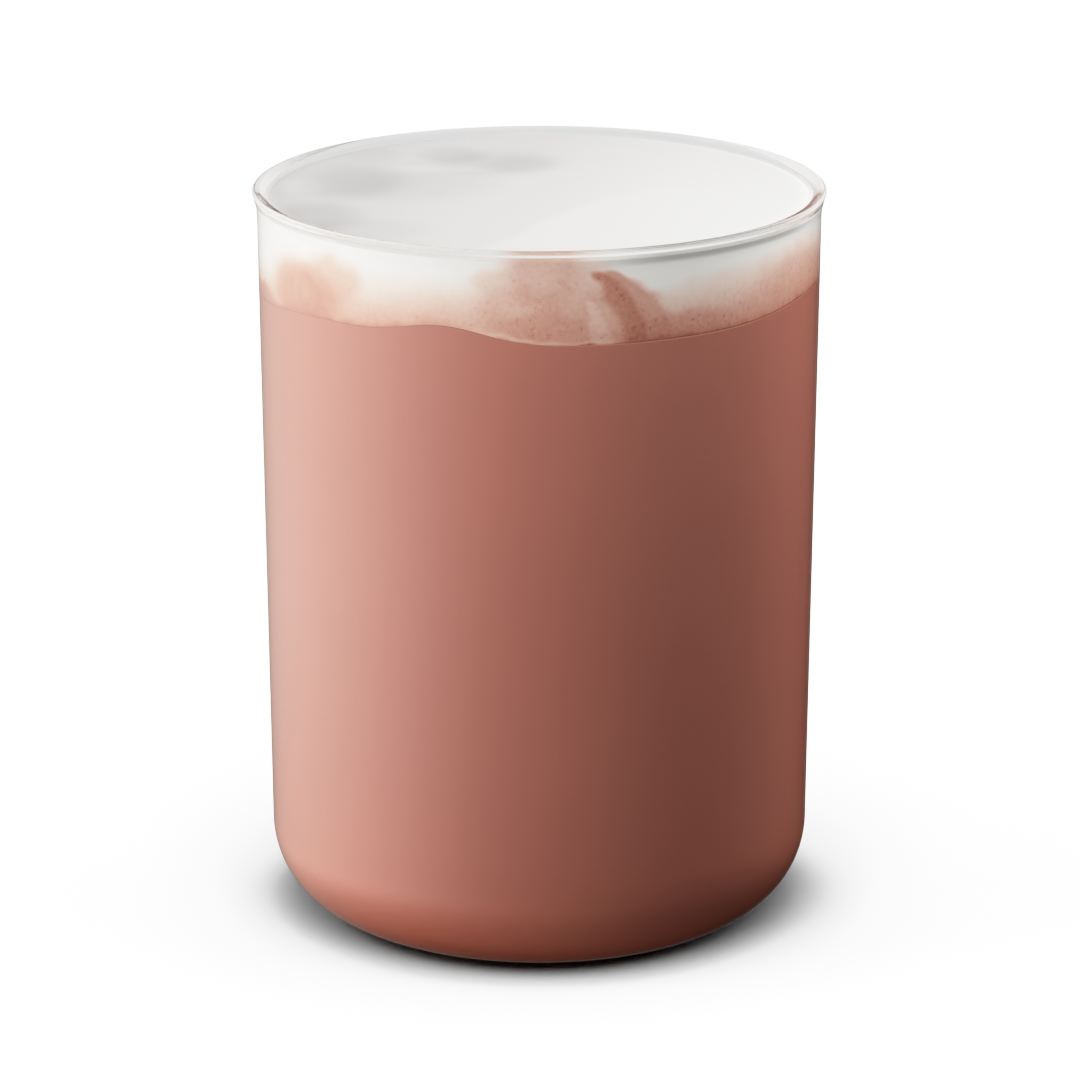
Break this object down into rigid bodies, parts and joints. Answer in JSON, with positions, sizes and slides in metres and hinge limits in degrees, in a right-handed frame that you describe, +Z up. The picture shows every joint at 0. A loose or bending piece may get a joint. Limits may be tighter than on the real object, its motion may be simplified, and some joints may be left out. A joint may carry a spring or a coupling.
{
  "type": "hot chocolate in a glass",
  "caption": "Brimful hot chocolate with a smooth milk foam cap in a clear, straight-sided glass tumbler with a rounded base; the foam is marbled where it meets the drink.",
  "frame": {"origin": "middle of the glass's flat underside", "axes": "+Z up along the glass's axis; -Y faces the viewer of the picture; +X to the viewer's right"},
  "size_m": [0.08, 0.08, 0.105],
  "materials": {
    "clear_glass": "clear, smooth, fire polished lip",
    "chocolate_drink": "opaque milky brown liquid behind glass",
    "foam": "smooth matt milk foam, marbled pink-brown low on its side"
  },
  "bodies": {
    "root": {"glass": "clear_glass", "chocolate": "chocolate_drink", "milk_foam": "foam"}
  },
  "joints": []
}
